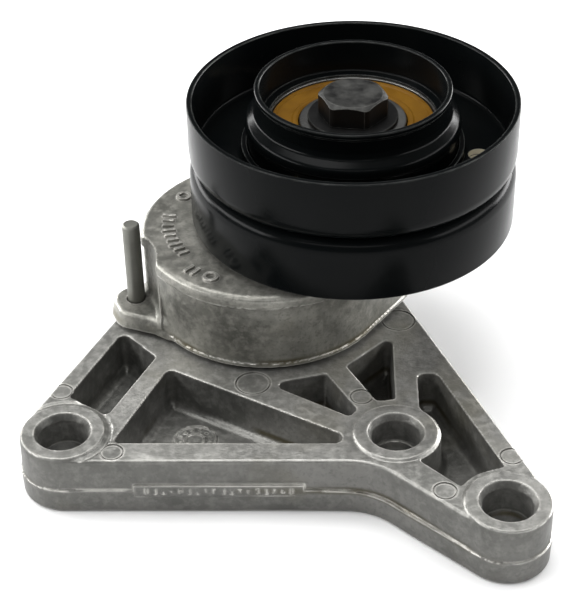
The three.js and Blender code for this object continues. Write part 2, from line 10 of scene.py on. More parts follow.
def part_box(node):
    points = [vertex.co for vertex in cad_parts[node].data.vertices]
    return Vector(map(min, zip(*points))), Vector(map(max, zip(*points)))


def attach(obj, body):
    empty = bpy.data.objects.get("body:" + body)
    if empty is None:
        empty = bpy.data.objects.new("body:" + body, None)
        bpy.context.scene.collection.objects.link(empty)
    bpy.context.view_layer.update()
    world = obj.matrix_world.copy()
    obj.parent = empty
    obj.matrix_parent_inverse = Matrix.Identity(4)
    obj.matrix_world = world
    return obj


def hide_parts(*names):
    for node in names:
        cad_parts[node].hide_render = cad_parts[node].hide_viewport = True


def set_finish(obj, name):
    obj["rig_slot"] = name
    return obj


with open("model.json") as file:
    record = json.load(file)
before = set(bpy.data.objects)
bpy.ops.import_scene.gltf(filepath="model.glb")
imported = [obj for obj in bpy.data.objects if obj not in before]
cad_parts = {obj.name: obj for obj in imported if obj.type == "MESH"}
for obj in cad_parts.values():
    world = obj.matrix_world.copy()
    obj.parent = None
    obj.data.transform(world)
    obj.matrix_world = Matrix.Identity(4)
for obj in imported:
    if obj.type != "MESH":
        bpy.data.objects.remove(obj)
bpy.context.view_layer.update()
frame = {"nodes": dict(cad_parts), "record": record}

MM = 0.001  # this script works in millimetres, and the scene is in metres
FAR = 1e6  # a distance past everything


# ---- places, in millimetres, from the frame ----

def node_box(node):
    low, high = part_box(node)
    return np.array(low) / MM, np.array(high) / MM


def node_axis(node):
    """Where a turned node's own axis stands, as (x, y)."""
    low, high = node_box(node)
    return tuple((low + high)[:2] / 2)


def node_radius(node):
    low, high = node_box(node)
    return (high - low)[0] / 2


def node_heights(node):
    low, high = node_box(node)
    return low[2], high[2]


# ---- signed distances, in millimetres: negative inside ----

def round_meet(a, b, radius):
    """What two shapes share, with the edge between them rounded."""
    u, v = np.maximum(a + radius, 0), np.maximum(b + radius, 0)
    return np.minimum(-radius, np.maximum(a, b)) + np.sqrt(u * u + v * v)


def round_join(a, b, radius):
    """Two shapes together, with a fillet in the corner between them."""
    u, v = np.maximum(radius - a, 0), np.maximum(radius - b, 0)
    return np.maximum(radius, np.minimum(a, b)) - np.sqrt(u * u + v * v)


def cut(body, hollow, radius):
    return round_meet(body, -hollow, radius)


def disc_distance(x, y, at, radius):
    return np.hypot(x - at[0], y - at[1]) - radius


def belt_distance(x, y, circles):
    """Distance to the outline that a belt makes round circles (x, y, radius), counter-clockwise. It passes
    a circle of negative radius on the outside, which makes a hollow curve."""
    count = len(circles)
    leave = []
    for i, (cx, cy, r) in enumerate(circles):
        nx, ny, nr = circles[(i + 1) % count]
        span = math.hypot(nx - cx, ny - cy)
        leave.append(math.atan2(ny - cy, nx - cx) - math.acos((r - nr) / span))
    nearest = np.full(np.broadcast(x, y).shape, FAR)
    for i, (cx, cy, r) in enumerate(circles):
        nx, ny, nr = circles[(i + 1) % count]
        out_x, out_y = math.cos(leave[i]), math.sin(leave[i])
        ax, ay = cx + r * out_x, cy + r * out_y
        ex, ey = nx + nr * out_x - ax, ny + nr * out_y - ay
        along = np.clip(((x - ax) * ex + (y - ay) * ey) / (ex * ex + ey * ey), 0, 1)
        side = (x - ax) * out_x + (y - ay) * out_y
        straight = np.copysign(np.hypot(x - ax - along * ex, y - ay - along * ey), side)
        nearest = np.where(np.abs(straight) < np.abs(nearest), straight, nearest)
        start, end = leave[i - 1], leave[i]
        angle = np.arctan2(y - cy, x - cx)
        if r < 0:
            turned, sweep = start + math.pi - angle, (start - end) % math.tau
        else:
            turned, sweep = angle - start, (end - start) % math.tau
        bow = math.copysign(1, r) * (np.hypot(x - cx, y - cy) - abs(r))
        bow = np.where(turned % math.tau <= sweep, bow, FAR)
        nearest = np.where(np.abs(bow) < np.abs(nearest), bow, nearest)
    return nearest


def corner_circles(corners):
    """The circles that round the corners (x, y, radius) of a counter-clockwise polygon."""
    circles = []
    count = len(corners)
    for i, (x, y, radius) in enumerate(corners):
        before, after = corners[i - 1], corners[(i + 1) % count]
        back = Vector((before[0] - x, before[1] - y)).normalized()
        ahead = Vector((after[0] - x, after[1] - y)).normalized()
        half = math.acos(max(-1, min(1, back.dot(ahead)))) / 2
        middle = Vector((x, y)) + (back + ahead).normalized() * (radius / math.sin(half))
        hollow = back.x * ahead.y - back.y * ahead.x > 0
        circles.append((middle.x, middle.y, -radius if hollow else radius))
    return circles


def capsule_distance(x, y, start_radius, end, end_radius):
    """Distance to the outline round a circle at the origin and one at end, with a belt round both."""
    length = math.hypot(*end)
    along = (x * end[0] + y * end[1]) / length
    across = np.abs(x * end[1] - y * end[0]) / length
    slope = (start_radius - end_radius) / length
    level = np.sqrt(1 - slope * slope)
    reach = along * level - across * slope
    middle = across * level + along * slope - start_radius
    result = np.where(reach < 0, np.hypot(across, along) - start_radius, middle)
    return np.where(reach > level * length, np.hypot(across, along - length) - end_radius, result)


# ---- a closed mesh of a field, with its sharp edges kept ----

def field_normals(field, points):
    """The field's unit gradient at points, from the four corners of a small tetrahedron."""
    reach = 0.02
    total = np.zeros_like(points)
    for corner in ((1, -1, -1), (-1, -1, 1), (-1, 1, -1), (1, 1, 1)):
        corner = np.array(corner, float)
        total += field(*(points + reach * corner).T)[:, None] * corner
    return total / np.maximum(np.linalg.norm(total, axis=1, keepdims=True), 1e-9)


def cell_vertices(cells, points, normals, corner, step):
    """One vertex in each cell that the surface crosses, where the planes at its crossings meet best."""
    used, slot = np.unique(cells, return_inverse=True)

    def total(values):
        return np.bincount(slot, values, len(used))

    share = total(np.ones(len(cells)))
    middle = np.stack([total(points[:, i]) for i in range(3)], 1) / share[:, None]
    away = points - middle[slot]
    height = (normals * away).sum(1)
    spread = np.empty((len(used), 3, 3))
    for i in range(3):
        for j in range(i, 3):
            spread[:, i, j] = spread[:, j, i] = total(normals[:, i] * normals[:, j])
    hold = 0.04  # keeps a vertex near the middle of its crossings on a flat or a lone edge
    spread += np.eye(3) * (hold * share)[:, None, None]
    pull = np.stack([total(normals[:, i] * height) for i in range(3)], 1)
    vertices = middle + np.linalg.solve(spread, pull[:, :, None])[:, :, 0]
    low = corner(used)
    return used, np.clip(vertices, low, low + step)


def field_mesh(field, low, high, step):
    """Vertices and four-sided faces of the field's surface, on a grid of cells of the given size."""
    low = np.asarray(low, float)
    size = np.ceil((np.asarray(high) - low) / step).astype(int) + 1
    axes = [low[i] + step * np.arange(size[i]) for i in range(3)]
    values = field(axes[0][:, None, None], axes[1][None, :, None], axes[2][None, None, :])

    def number(index):
        return (index[:, 0] * size[1] + index[:, 1]) * size[2] + index[:, 2]

    crossings, quads = [], []
    for axis in range(3):
        first = [slice(None)] * 3
        second = [slice(None)] * 3
        first[axis], second[axis] = slice(0, -1), slice(1, None)
        a, b = values[tuple(first)], values[tuple(second)]
        index = np.argwhere((a < 0) != (b < 0))
        start, end = a[tuple(index.T)], b[tuple(index.T)]
        point = low + step * index
        point[:, axis] += step * start / (start - end)
        u, v = np.eye(3, dtype=int)[[(axis + 1) % 3, (axis + 2) % 3]]
        cells_round_edge = [number(index - u - v), number(index - v), number(index), number(index - u)]
        quad = np.stack(cells_round_edge, 1)
        quad[end < 0] = quad[end < 0][:, ::-1]
        crossings.append(point)
        quads.append(quad)
    points, quads = np.concatenate(crossings), np.concatenate(quads)
    normals = field_normals(field, points)

    def corner(cell):
        index = np.stack([cell // (size[1] * size[2]), cell // size[2] % size[1], cell % size[2]], 1)
        return low + step * index

    around = np.tile(np.arange(len(points)), 4)
    used, vertices = cell_vertices(quads.T.ravel(), points[around], normals[around], corner, step)
    return vertices, np.searchsorted(used, quads)


# ---- Blender pieces ----

FIELD_STEP = 0.42  # the size of a grid cell
FIELD_MARGIN = 1.2  # how far the grid reaches past the piece


def piece_from(name, vertices, faces, slot, body, *nodes):
    """A mesh piece, from millimetres, that stands for CAD nodes and rides on their body."""
    mesh = bpy.data.meshes.new(name)
    mesh.from_pydata((np.asarray(vertices) * MM).tolist(), [], [list(map(int, f)) for f in faces])
    mesh.validate()
    mesh.update()
    piece = bpy.data.objects.new(name, mesh)
    bpy.context.scene.collection.objects.link(piece)
    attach(piece, body)
    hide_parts(*nodes)
    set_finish(piece, slot)
    return piece


def apply_modifier(piece, kind, **settings):
    modifier = piece.modifiers.new(kind.title(), kind)
    for key, value in settings.items():
        setattr(modifier, key, value)
    graph = bpy.context.evaluated_depsgraph_get()
    evaluated = bpy.data.meshes.new_from_object(piece.evaluated_get(graph))
    piece.modifiers.remove(modifier)
    old, piece.data = piece.data, evaluated
    evaluated.name = old.name
    bpy.data.meshes.remove(old)


def shade(piece, sharp_degrees=35):
    """Smooth shading, except across edges sharper than the angle."""
    mesh = piece.data
    mesh.polygons.foreach_set("use_smooth", np.ones(len(mesh.polygons), bool))
    mesh.set_sharp_from_angle(angle=math.radians(sharp_degrees))


def casting(name, node, field, faces, slot, body):
    """A cast piece: the surface of its field, thinned where it is flat."""
    low, high = node_box(node)
    vertices, quads = field_mesh(field, low - FIELD_MARGIN, high + FIELD_MARGIN, FIELD_STEP)
    piece = piece_from(name, vertices, quads, slot, body, node)
    apply_modifier(piece, "DECIMATE", ratio=min(1, faces / (2 * len(quads))))
    shade(piece)
    return piece


def rounded(profile, steps=5):
    """A closed profile of (radius, z, rounding) corners as a finer list of (radius, z) points."""
    points = []
    count = len(profile)
    for i, (r, z, rounding) in enumerate(profile):
        here = Vector((r, z))
        if rounding <= 0:
            points.append((r, z))
            continue
        back = Vector(profile[i - 1][:2]) - here
        ahead = Vector(profile[(i + 1) % count][:2]) - here
        half = max(back.angle(ahead) / 2, 1e-3)
        reach = min(rounding / math.tan(half), back.length * 0.49, ahead.length * 0.49)
        start, end = here + back.normalized() * reach, here + ahead.normalized() * reach
        for k in range(steps + 1):
            t = k / steps
            bend = start.lerp(here, t).lerp(here.lerp(end, t), t)
            points.append((bend.x, bend.y))
    return points


def lathe_mesh(points, facets, at):
    """Vertices and faces of a loop of (radius, z) points turned round a vertical axis. Points on the axis
    become one vertex."""
    vertices, columns = [], []
    for r, z in points:
        if r < 1e-6:
            columns.append([len(vertices)] * facets)
            vertices.append((at[0], at[1], z))
            continue
        columns.append(list(range(len(vertices), len(vertices) + facets)))
        turn = math.tau * np.arange(facets) / facets
        vertices += [(at[0] + r * math.cos(a), at[1] + r * math.sin(a), z) for a in turn]
    faces = []
    for i, lower in enumerate(columns):
        upper = columns[(i + 1) % len(columns)]
        if lower[0] == lower[-1] and upper[0] == upper[-1]:
            continue
        for k in range(facets):
            n = (k + 1) % facets
            face = [lower[k], lower[n], upper[n], upper[k]]
            faces.append(list(dict.fromkeys(face)))
    return vertices, faces


def cut_turned(piece, cutters, facets=48):
    """Cuts turned shapes, each a place and a (radius, z) profile, out of a piece by a boolean."""
    vertices, faces = [], []
    for at, profile in cutters:
        ring, sides = lathe_mesh(profile, facets, at)
        faces += [[k + len(vertices) for k in face] for face in sides]
        vertices += ring
    mesh = bpy.data.meshes.new("cutters")
    mesh.from_pydata((np.array(vertices) * MM).tolist(), [], faces)
    cutter = bpy.data.objects.new("cutters", mesh)
    bpy.context.scene.collection.objects.link(cutter)
    apply_modifier(piece, "BOOLEAN", operation="DIFFERENCE", solver="EXACT", object=cutter)
    bpy.data.objects.remove(cutter)
    bpy.data.meshes.remove(mesh)


def lathe(name, profile, slot, body, node, facets=160, sharp_degrees=35):
    """A turned piece in place of a node, from (radius, z, rounding) corners, counter-clockwise in r and z."""
    vertices, faces = lathe_mesh(rounded(profile), facets, node_axis(node))
    piece = piece_from(name, vertices, faces, slot, body, node)
    shade(piece, sharp_degrees)
    return piece


def ring_profile(inner, outer, bottom, top, edge):
    return [(inner, bottom, edge), (outer, bottom, edge), (outer, top, edge), (inner, top, edge)]


# ---- bracket ----

BRACKET_TOP = node_heights("bracket")[1]  # the bosses' faces
BOSS_RISE = 0.6
PLATE_TOP = BRACKET_TOP - BOSS_RISE
PARTING_Z = 7.2
PARTING_FLASH = 0.4
WALL_DRAFT = 0.026
POCKET_DRAFT = 0.06
POCKET_FLOOR = 5.0
RIM_ROUNDING = 0.4
PIVOT_ROUND = 36
LEFT_HOLE, MIDDLE_HOLE, RIGHT_HOLE = (-51.9, -59.4), (34.7, -59.4), (61.4, -85.5)
HOLES = (LEFT_HOLE, MIDDLE_HOLE, RIGHT_HOLE)
HOLE_RADIUS = 6.4
LEAD_IN_WIDTH, LEAD_IN_DEPTH = 1.05, 1.9  # the cone at the top of a bolt hole
HOLE_STEP_RADIUS, HOLE_STEP_Z = 4.8, 3.0
CORE_RIDGE_Z, CORE_RIDGE_SPREAD = 8.7, 0.45
CORE_RIDGE, MIDDLE_CORE_RIDGE = 0.25, 0.55  # how far the ridge in a bolt hole stands proud
FOOT_CONE = 0.8
BOSS_RADIUS = 11
LEFT_GROOVE_RADIUS = 12.3  # the fine groove round the left boss
SPRING_CUP_RADIUS, SPRING_CUP_FLOOR = 30, 5
BRACKET_HUB_RADIUS, BRACKET_HUB_TOP = 13, 15
SHAFT_SEAT_RADIUS = 8.1
BRACKET_CIRCLES = [(0, 0, PIVOT_ROUND), (-51.6, -59, 11.8), (21.7, -88.6, -18), (*RIGHT_HOLE, 11.1)]
# A pocket is its corners (x, y, rounding), and the holes (place, radius) that it keeps clear of.
POCKETS = [
    ([(-40.5, -15.9, 2), (-52.2, -44.2, 1.5), (-41.3, -52.8, 2), (-30.2, -27.2, 1.5)], [(LEFT_HOLE, 12.4)]),
    ([(-26.4, -32.4, 2), (-38.8, -63.3, 1.5), (26.8, -63.2, 2.2)], [(LEFT_HOLE, 12.4)]),
    ([(1.1, -39, 2), (28.6, -56.3, 1), (16.6, -34.6, 1)], [(MIDDLE_HOLE, 13.7)]),
    ([(34.9, -17.7, 1.6), (22.1, -31.3, 1), (32.5, -51, 1), (35.1, -51, 1)], [(MIDDLE_HOLE, 13.7)]),
    ([(41.2, -34.6, 2.4), (41.2, -62, 1), (39.2, -68.9, 1), (50.6, -80, 1.5), (61.7, -72.2, 1.2),
      (46.7, -34.6, 2.4)], [(MIDDLE_HOLE, 11.6), (RIGHT_HOLE, 12.4)]),
]
# An ejector mark is its radius and its place.
EJECTOR_MARKS = [(4.6, (-3.1, -38.8)), (4.6, (37, -10.6)), (2.9, (-54.4, -42.3)), (2.9, (-38.4, -66.8)),
                 (2.9, (26, -44.5)), (2.9, (46.1, -81.2)), (2.9, (63.8, -68.3))]
CAST_MARK_AT = (-18.6, -48.6)
STRIP_FROM, STRIP_TO = -33.0, 11.0
STRIP_Z, STRIP_HALF_HEIGHT, STRIP_PROUD = 7.3, 1.9, 0.62
PIP_PITCH, PIP_HALF_WIDTH, PIP_PROUD = 2.2, 0.4, 0.95
GROOVE_END = (-37, -7.3)  # where the lock pin stands at rest
PIN_CIRCLE, PIN_ANGLE = math.hypot(*GROOVE_END), math.atan2(GROOVE_END[1], GROOVE_END[0])
GROOVE_HALF, GROOVE_FLOOR, GROOVE_SWEEP = 3.05, 9, math.radians(54)


def cone_distance(away, depth, width, height):
    """A hole's countersink, from the distance to its wall and the depth below its face."""
    return (away - width * (1 - depth / height)) * height / math.hypot(width, height)


def hole_hollow(x, y, z, at, top):
    """A bolt hole with a cone at each end and a ridge where the core's two halves meet."""
    away = disc_distance(x, y, at, HOLE_RADIUS)
    proud = MIDDLE_CORE_RIDGE if at == MIDDLE_HOLE else CORE_RIDGE
    hollow = away + proud * np.exp(-((z - CORE_RIDGE_Z) / CORE_RIDGE_SPREAD) ** 2)
    if at == MIDDLE_HOLE:
        step = disc_distance(x, y, at, HOLE_STEP_RADIUS)
        hollow = np.minimum(np.maximum(hollow, HOLE_STEP_Z - z), step)
    upper = cone_distance(away, top - z, LEAD_IN_WIDTH, LEAD_IN_DEPTH)
    if at == MIDDLE_HOLE:
        away = step
    return np.minimum(hollow, np.minimum(upper, cone_distance(away, z, FOOT_CONE, FOOT_CONE)))


def pocket_hollow(x, y, z, corners, clear):
    walls = belt_distance(x, y, corner_circles(corners))
    for at, radius in clear:
        walls = round_meet(walls, -disc_distance(x, y, at, radius), 1.2)
    return round_meet(walls + POCKET_DRAFT * (PLATE_TOP - z), POCKET_FLOOR - z, 2.2)


def pin_groove_hollow(x, y, z):
    """The arc that the lock pin's tip sweeps, open to the bracket's edge."""
    away = np.hypot(x, y)
    band = np.maximum(PIN_CIRCLE - GROOVE_HALF - away, away - PIN_CIRCLE - GROOVE_HALF - 2)
    after = x * math.sin(PIN_ANGLE) - y * math.cos(PIN_ANGLE)
    start = PIN_ANGLE - GROOVE_SWEEP
    before = y * math.cos(start) - x * math.sin(start)
    sweep = np.maximum(band, np.maximum(-after, -before))
    pin_at = (PIN_CIRCLE * math.cos(PIN_ANGLE), PIN_CIRCLE * math.sin(PIN_ANGLE))
    pin = disc_distance(x, y, pin_at, GROOVE_HALF)
    return round_meet(np.minimum(sweep, pin), GROOVE_FLOOR - z, 0.5)


def ring_bead(x, y, z, at, radius, width, floor, height):
    """A raised ring on a floor."""
    away = np.abs(disc_distance(x, y, at, radius)) - width / 2
    return round_meet(np.maximum(away, floor - 1 - z), z - floor - height, 0.12)


def clock_mark(x, y, z, at, floor):
    """A plain founder's clock: two rings with dots between them."""
    large_radius, small_radius, dots_radius, dot_radius = 5.6, 2.6, 4.1, 0.42
    large = ring_bead(x, y, z, at, large_radius, 0.6, floor, 0.4)
    rings = np.minimum(large, ring_bead(x, y, z, at, small_radius, 0.5, floor, 0.3))
    sector = math.tau / 12
    angle = np.mod(np.arctan2(y - at[1], x - at[0]), sector) - sector / 2
    away = np.hypot(x - at[0], y - at[1])
    dots = np.hypot(away * np.cos(angle) - dots_radius, away * np.sin(angle)) - dot_radius
    dots = np.maximum(np.maximum(dots, floor - 1 - z), z - floor - 0.35)
    return np.minimum(rings, dots)


def front_strip(x, y, z, wall):
    """The proud strip on the front edge, with a row of plain pips."""
    middle, half = (STRIP_FROM + STRIP_TO) / 2, (STRIP_TO - STRIP_FROM) / 2
    reach = np.maximum(np.abs(x - middle) - half, np.abs(z - STRIP_Z) - STRIP_HALF_HEIGHT)
    front = np.maximum(y + 60, -1)  # keeps the strip off the bracket's other edges
    strip = np.maximum(round_meet(reach, wall - STRIP_PROUD, 0.3), front)
    along = np.mod(x - STRIP_FROM, PIP_PITCH) - PIP_PITCH / 2
    count = np.floor((x - STRIP_FROM) / PIP_PITCH)
    tall = 0.55 + 0.45 * np.abs(np.sin(count * 2.4))
    pip = np.maximum(np.abs(along) - PIP_HALF_WIDTH, np.abs(z - STRIP_Z) - tall)
    pip = np.maximum(round_meet(pip, wall - PIP_PROUD, 0.15), np.abs(x - middle) - half + 2)
    return np.minimum(strip, np.maximum(pip, front))


def bracket_field(x, y, z):
    wall = belt_distance(x, y, BRACKET_CIRCLES)
    parting = PARTING_Z + 0.22 * np.sin(0.13 * x + 0.7) * np.cos(0.09 * y)
    wider = 0.5 * np.exp(-((x - 36) ** 2 + (y + 76) ** 2) / 17 ** 2)  # in the hollow before the right boss
    ledge = PARTING_FLASH + wider
    upper = round_meet(wall + WALL_DRAFT * np.maximum(z - parting, 0), z - PLATE_TOP, 0.8)
    upper = np.maximum(upper, parting - 1 - z)
    lower = round_meet(wall - ledge + WALL_DRAFT * np.maximum(parting - z, 0), -z, 0.7)
    lower = round_meet(lower, z - parting, 0.15)
    body = round_join(upper, lower, 0.25)
    body = round_join(body, front_strip(x, y, z, wall), 0.15)
    for at in HOLES:
        boss = round_meet(disc_distance(x, y, at, BOSS_RADIUS), z - BRACKET_TOP, 0.4)
        body = round_join(body, np.maximum(boss, PARTING_Z - z), 0.45)
    groove = np.hypot(disc_distance(x, y, LEFT_HOLE, LEFT_GROOVE_RADIUS), z - PLATE_TOP - 0.35) - 0.75
    body = cut(body, groove, 0.15)
    for corners, clear in POCKETS:
        body = cut(body, pocket_hollow(x, y, z, corners, clear), RIM_ROUNDING)
    body = round_join(body, clock_mark(x, y, z, CAST_MARK_AT, POCKET_FLOOR), 0.15)
    cup = round_meet(disc_distance(x, y, (0, 0), SPRING_CUP_RADIUS), SPRING_CUP_FLOOR - z, 1.2)
    hub = round_meet(disc_distance(x, y, (0, 0), BRACKET_HUB_RADIUS), z - BRACKET_HUB_TOP, 0.5)
    seat = np.maximum(disc_distance(x, y, (0, 0), SHAFT_SEAT_RADIUS), SPRING_CUP_FLOOR - z)
    body = cut(body, cup, 0.4)
    body = round_join(body, np.maximum(hub, 1 - z), 1)
    body = cut(body, seat, 0.3)
    body = cut(body, pin_groove_hollow(x, y, z), 0.4)
    for at in HOLES:
        body = cut(body, hole_hollow(x, y, z, at, BRACKET_TOP), 0.12)
    return body


def bracket_casting():
    """The bracket, with its ejector marks: shallow discs with a fine groove round them."""
    piece = casting("bracket_casting", "bracket", bracket_field, 90000, "bracket_cast", "bracket")
    over, floor = PLATE_TOP + 1, PLATE_TOP - 0.12
    groove_floor, groove_half = PLATE_TOP - 0.5, 0.22
    marks = []
    for radius, at in EJECTOR_MARKS:
        inner, outer = radius - groove_half, radius + groove_half
        marks.append((at, [(0, floor), (inner, floor), (inner, groove_floor), (outer, groove_floor),
                           (outer, over), (0, over)]))
    cut_turned(piece, marks, 64)
    shade(piece)
    return piece


# ---- swing arm ----

POST_TOP = node_heights("arm_casting")[1]
PULLEY_AXIS = node_axis("hub_cup")
ARM_TOP = 42.2
BAND_HEIGHT = 3.6
DRUM_BOTTOM_RADIUS, DRUM_BAND_RADIUS, DRUM_TOP_RADIUS = 33.4, 34.6, 35.2
ARM_END_RADIUS = 17
LUG_BOTTOM, LUG_TOP, LUG_RADIUS, LUG_FLARE = 17.9, 22.4, 6.1, 0.27
LUG_HOLE_RADIUS = 2.75
LUG_ROOT = [(-36.8, -10.0, 5.2), (-27.5, -13.5, 5)]  # the circles where the lug runs into the drum
PIN_AT = node_axis("lock_pin")
RELIEF_AT, RELIEF_RADIUS = (-46.4, -17.1), 16.8
PAD_FROM, PAD_TO = math.radians(172), math.radians(213)
CAVITY_RADIUS, CAVITY_TOP, ARM_HUB_RADIUS = 29.3, 35.5, 13
BUSH_RADIUS = node_radius("lower_bush")
CAP_RECESS_RADIUS, CAP_RECESS_FLOOR = 11.4, 37.9
POST_RADIUS = 12.5
BOLT_BORE = 5.0
DRUM_FLOOR = 18.1
MARK_HEIGHT = 0.7


def turned_point(x, y, degrees):
    """The point seen in axes turned by an angle: how far along that direction, and how far to its left."""
    c, s = math.cos(math.radians(degrees)), math.sin(math.radians(degrees))
    return x * c + y * s, y * c - x * s


def arm_marks(x, y, z):
    """Raised marks on the arm's top: a ring, a row of bars along an arc, and two bars beside a ring."""
    marks = FAR
    for i in range(9):
        along, left = turned_point(x, y, 171 + 5.2 * i)
        length = 1.6 if i % 3 else 1.9
        marks = np.minimum(marks, np.maximum(np.abs(along - 27.8 + 0.2 * i) - length, np.abs(left) - 0.48))
    for degrees, radius in ((227, 29.6), (231.5, 29.6)):
        along, left = turned_point(x, y, degrees)
        marks = np.minimum(marks, np.maximum(np.abs(along - radius) - 1.8, np.abs(left) - 0.5))
    for degrees, radius in ((149, 28.1), (241, 29.2)):
        at = (radius * math.cos(math.radians(degrees)), radius * math.sin(math.radians(degrees)))
        marks = np.minimum(marks, np.abs(disc_distance(x, y, at, 1.7)) - 0.45)
    return round_meet(np.maximum(marks, ARM_TOP - 1 - z), z - ARM_TOP - MARK_HEIGHT, 0.15)


def arm_field(x, y, z):
    rise = (z - DRUM_FLOOR) / (ARM_TOP - BAND_HEIGHT - DRUM_FLOOR)
    radius = DRUM_BOTTOM_RADIUS + (DRUM_BAND_RADIUS - DRUM_BOTTOM_RADIUS) * rise
    band = ARM_TOP - BAND_HEIGHT + 0.25 * np.sin(0.21 * x + 1) * np.sin(0.17 * y)
    lower = capsule_distance(x, y, radius, PULLEY_AXIS, ARM_END_RADIUS)
    lower = np.maximum(round_meet(lower, DRUM_FLOOR - z, 0.7), z - ARM_TOP + 1)
    upper = capsule_distance(x, y, DRUM_TOP_RADIUS, PULLEY_AXIS, ARM_END_RADIUS + 0.3)
    upper = round_meet(upper + 0.02 * (z - band), z - ARM_TOP, 1.7)
    upper = round_meet(upper, band - z, 0.3)
    away, angle = np.hypot(x, y), np.mod(np.arctan2(y, x), math.tau)
    pad_side = away * np.maximum(np.maximum(PAD_FROM - angle, angle - PAD_TO), -0.5)
    pad = np.maximum(np.maximum(away - DRUM_BAND_RADIUS, 31 - away), pad_side)
    pad = np.maximum(pad, np.maximum(LUG_TOP - 1 - z, z - band))
    lug = belt_distance(x, y, [(*PIN_AT, LUG_RADIUS), *LUG_ROOT])
    lug = lug - LUG_FLARE * (LUG_TOP - z)
    lug = round_meet(round_meet(lug, LUG_BOTTOM - z, 0.5), z - LUG_TOP, 0.9)
    lip = capsule_distance(x, y, DRUM_BOTTOM_RADIUS + 0.4, PULLEY_AXIS, ARM_END_RADIUS + 0.4)
    lip = round_meet(lip, np.abs(z - DRUM_FLOOR - 0.5) - 0.5, 0.15)
    post = round_meet(disc_distance(x, y, PULLEY_AXIS, POST_RADIUS), z - POST_TOP, 0.5)
    post = np.maximum(post, ARM_TOP - 2 - z)
    body = round_join(round_join(lower, lip, 0.25), upper, 0.5)
    body = np.minimum(body, pad)
    body = round_join(body, post, 1.2)
    relief = np.maximum(disc_distance(x, y, RELIEF_AT, RELIEF_RADIUS), LUG_TOP - 0.6 - z)
    body = cut(body, relief, 0.5)
    body = round_join(body, lug, 3.2)
    body = np.minimum(body, arm_marks(x, y, z))
    centre = disc_distance(x, y, (0, 0), 0)
    cavity = np.maximum(centre - CAVITY_RADIUS, ARM_HUB_RADIUS - centre)
    body = cut(body, round_meet(cavity, z - CAVITY_TOP, 1.2), 0.3)
    under_hub = np.maximum(centre - ARM_HUB_RADIUS - 1, z - node_heights("lower_bush")[0] - 1.6)
    body = cut(body, under_hub, 0.1)
    body = cut(body, centre - BUSH_RADIUS - 0.1, 0.2)
    body = cut(body, np.maximum(centre - CAP_RECESS_RADIUS, CAP_RECESS_FLOOR - z), 0.4)
    body = cut(body, disc_distance(x, y, PIN_AT, LUG_HOLE_RADIUS), 0.35)
    bolt = np.maximum(disc_distance(x, y, PULLEY_AXIS, BOLT_BORE), node_heights("pulley_bolt")[0] - 0.5 - z)
    return cut(body, bolt, 0.2)


# ---- pulley and bearing ----

PULLEY_RADIUS = node_radius("upper_shell")
SHEET = 1.6  # the thickness of the pressed steel
SHELL_BORE = 29.0
COLLAR_HEIGHT = 4.5
WEB_HOLE_RADIUS, WEB_HOLE_CIRCLE, WEB_HOLE_START, WEB_HOLES = 3.0, 34.6, -7, 3


def pulley_shell(node, side):
    """One pressed half of the pulley: side 1 is the front half, and -1 the rear."""
    low, high = node_heights(node)
    middle, rim = (low, high) if side > 0 else (high, low)
    web = middle + side * SHEET
    collar = middle + side * (COLLAR_HEIGHT - 0.1)
    outer, inner = PULLEY_RADIUS, PULLEY_RADIUS - SHEET
    profile = [(SHELL_BORE, collar, 0.3), (SHELL_BORE, middle, 2.0), (outer, middle, 4.2), (outer, rim, 0.45),
               (inner, rim, 0.45), (inner, web, 1.6), (SHELL_BORE + SHEET, web, 1.2),
               (SHELL_BORE + SHEET, collar, 0.3)]
    if side < 0:
        profile = profile[::-1]
    piece = lathe(node + "_pressing", profile, "black_paint", "pulley", node, facets=224)
    turn = [math.radians(WEB_HOLE_START + 360 * i / WEB_HOLES) for i in range(WEB_HOLES)]
    places = [(PULLEY_AXIS[0] + WEB_HOLE_CIRCLE * math.cos(a), PULLEY_AXIS[1] + WEB_HOLE_CIRCLE * math.sin(a))
              for a in turn]
    bottom, top = min(middle, web) - 1, max(middle, web) + 1
    rod = [(0, bottom), (WEB_HOLE_RADIUS, bottom), (WEB_HOLE_RADIUS, top), (0, top)]
    cut_turned(piece, [(at, rod) for at in places])
    shade(piece, 40)
    glinting_bare_holes(piece, places)
    return piece


def glinting_bare_holes(piece, places):
    """Gives the walls of the punched holes a second material slot, for bare steel painted pale as a glint of
    light.
    """
    for face in piece.data.polygons:
        x, y = face.center.x / MM, face.center.y / MM
        near = min(math.hypot(x - at[0], y - at[1]) for at in places)
        if near < WEB_HOLE_RADIUS + 0.1 and abs(face.normal.z) < 0.5:
            face.material_index = 1


def hub_cup():
    """The drawn hub: bearing seat below, rolled bead, and the raised neck with its turned lip."""
    foot, top = node_heights("hub_cup")
    bead = node_radius("hub_cup")
    bearing_bottom, bearing_top = node_heights("bearing_outer_ring")
    seat = node_radius("bearing_outer_ring") + 0.2
    collar, neck, lip, mouth, shoulder = 28.8, 26.2, 26.7, 25.2, 22.9
    profile = [(seat - 1, foot, 0.3), (collar, foot, 0.6), (collar, bearing_top - 2.4, 0.6),
               (bead, bearing_top - 1.4, 0.5), (bead, bearing_top + 0.9, 1.8),
               (lip, bearing_top + 2.6, 1.4), (neck, bearing_top + 4.2, 1.5),
               (neck, top - 1.9, 0.3), (lip, top - 1.3, 0.25), (lip, top, 0.6),
               (mouth, top, 0.5), (25.0, bearing_top + 1.2, 0.6), (shoulder, bearing_top + 0.75, 0.3),
               (shoulder, bearing_top + 0.05, 0), (seat, bearing_top + 0.05, 0),
               (seat, bearing_bottom - 0.1, 0), (seat - 1, bearing_bottom - 0.5, 0)]
    return lathe("hub_cup_drawn", profile, "black_paint", "pulley", "hub_cup", facets=224)


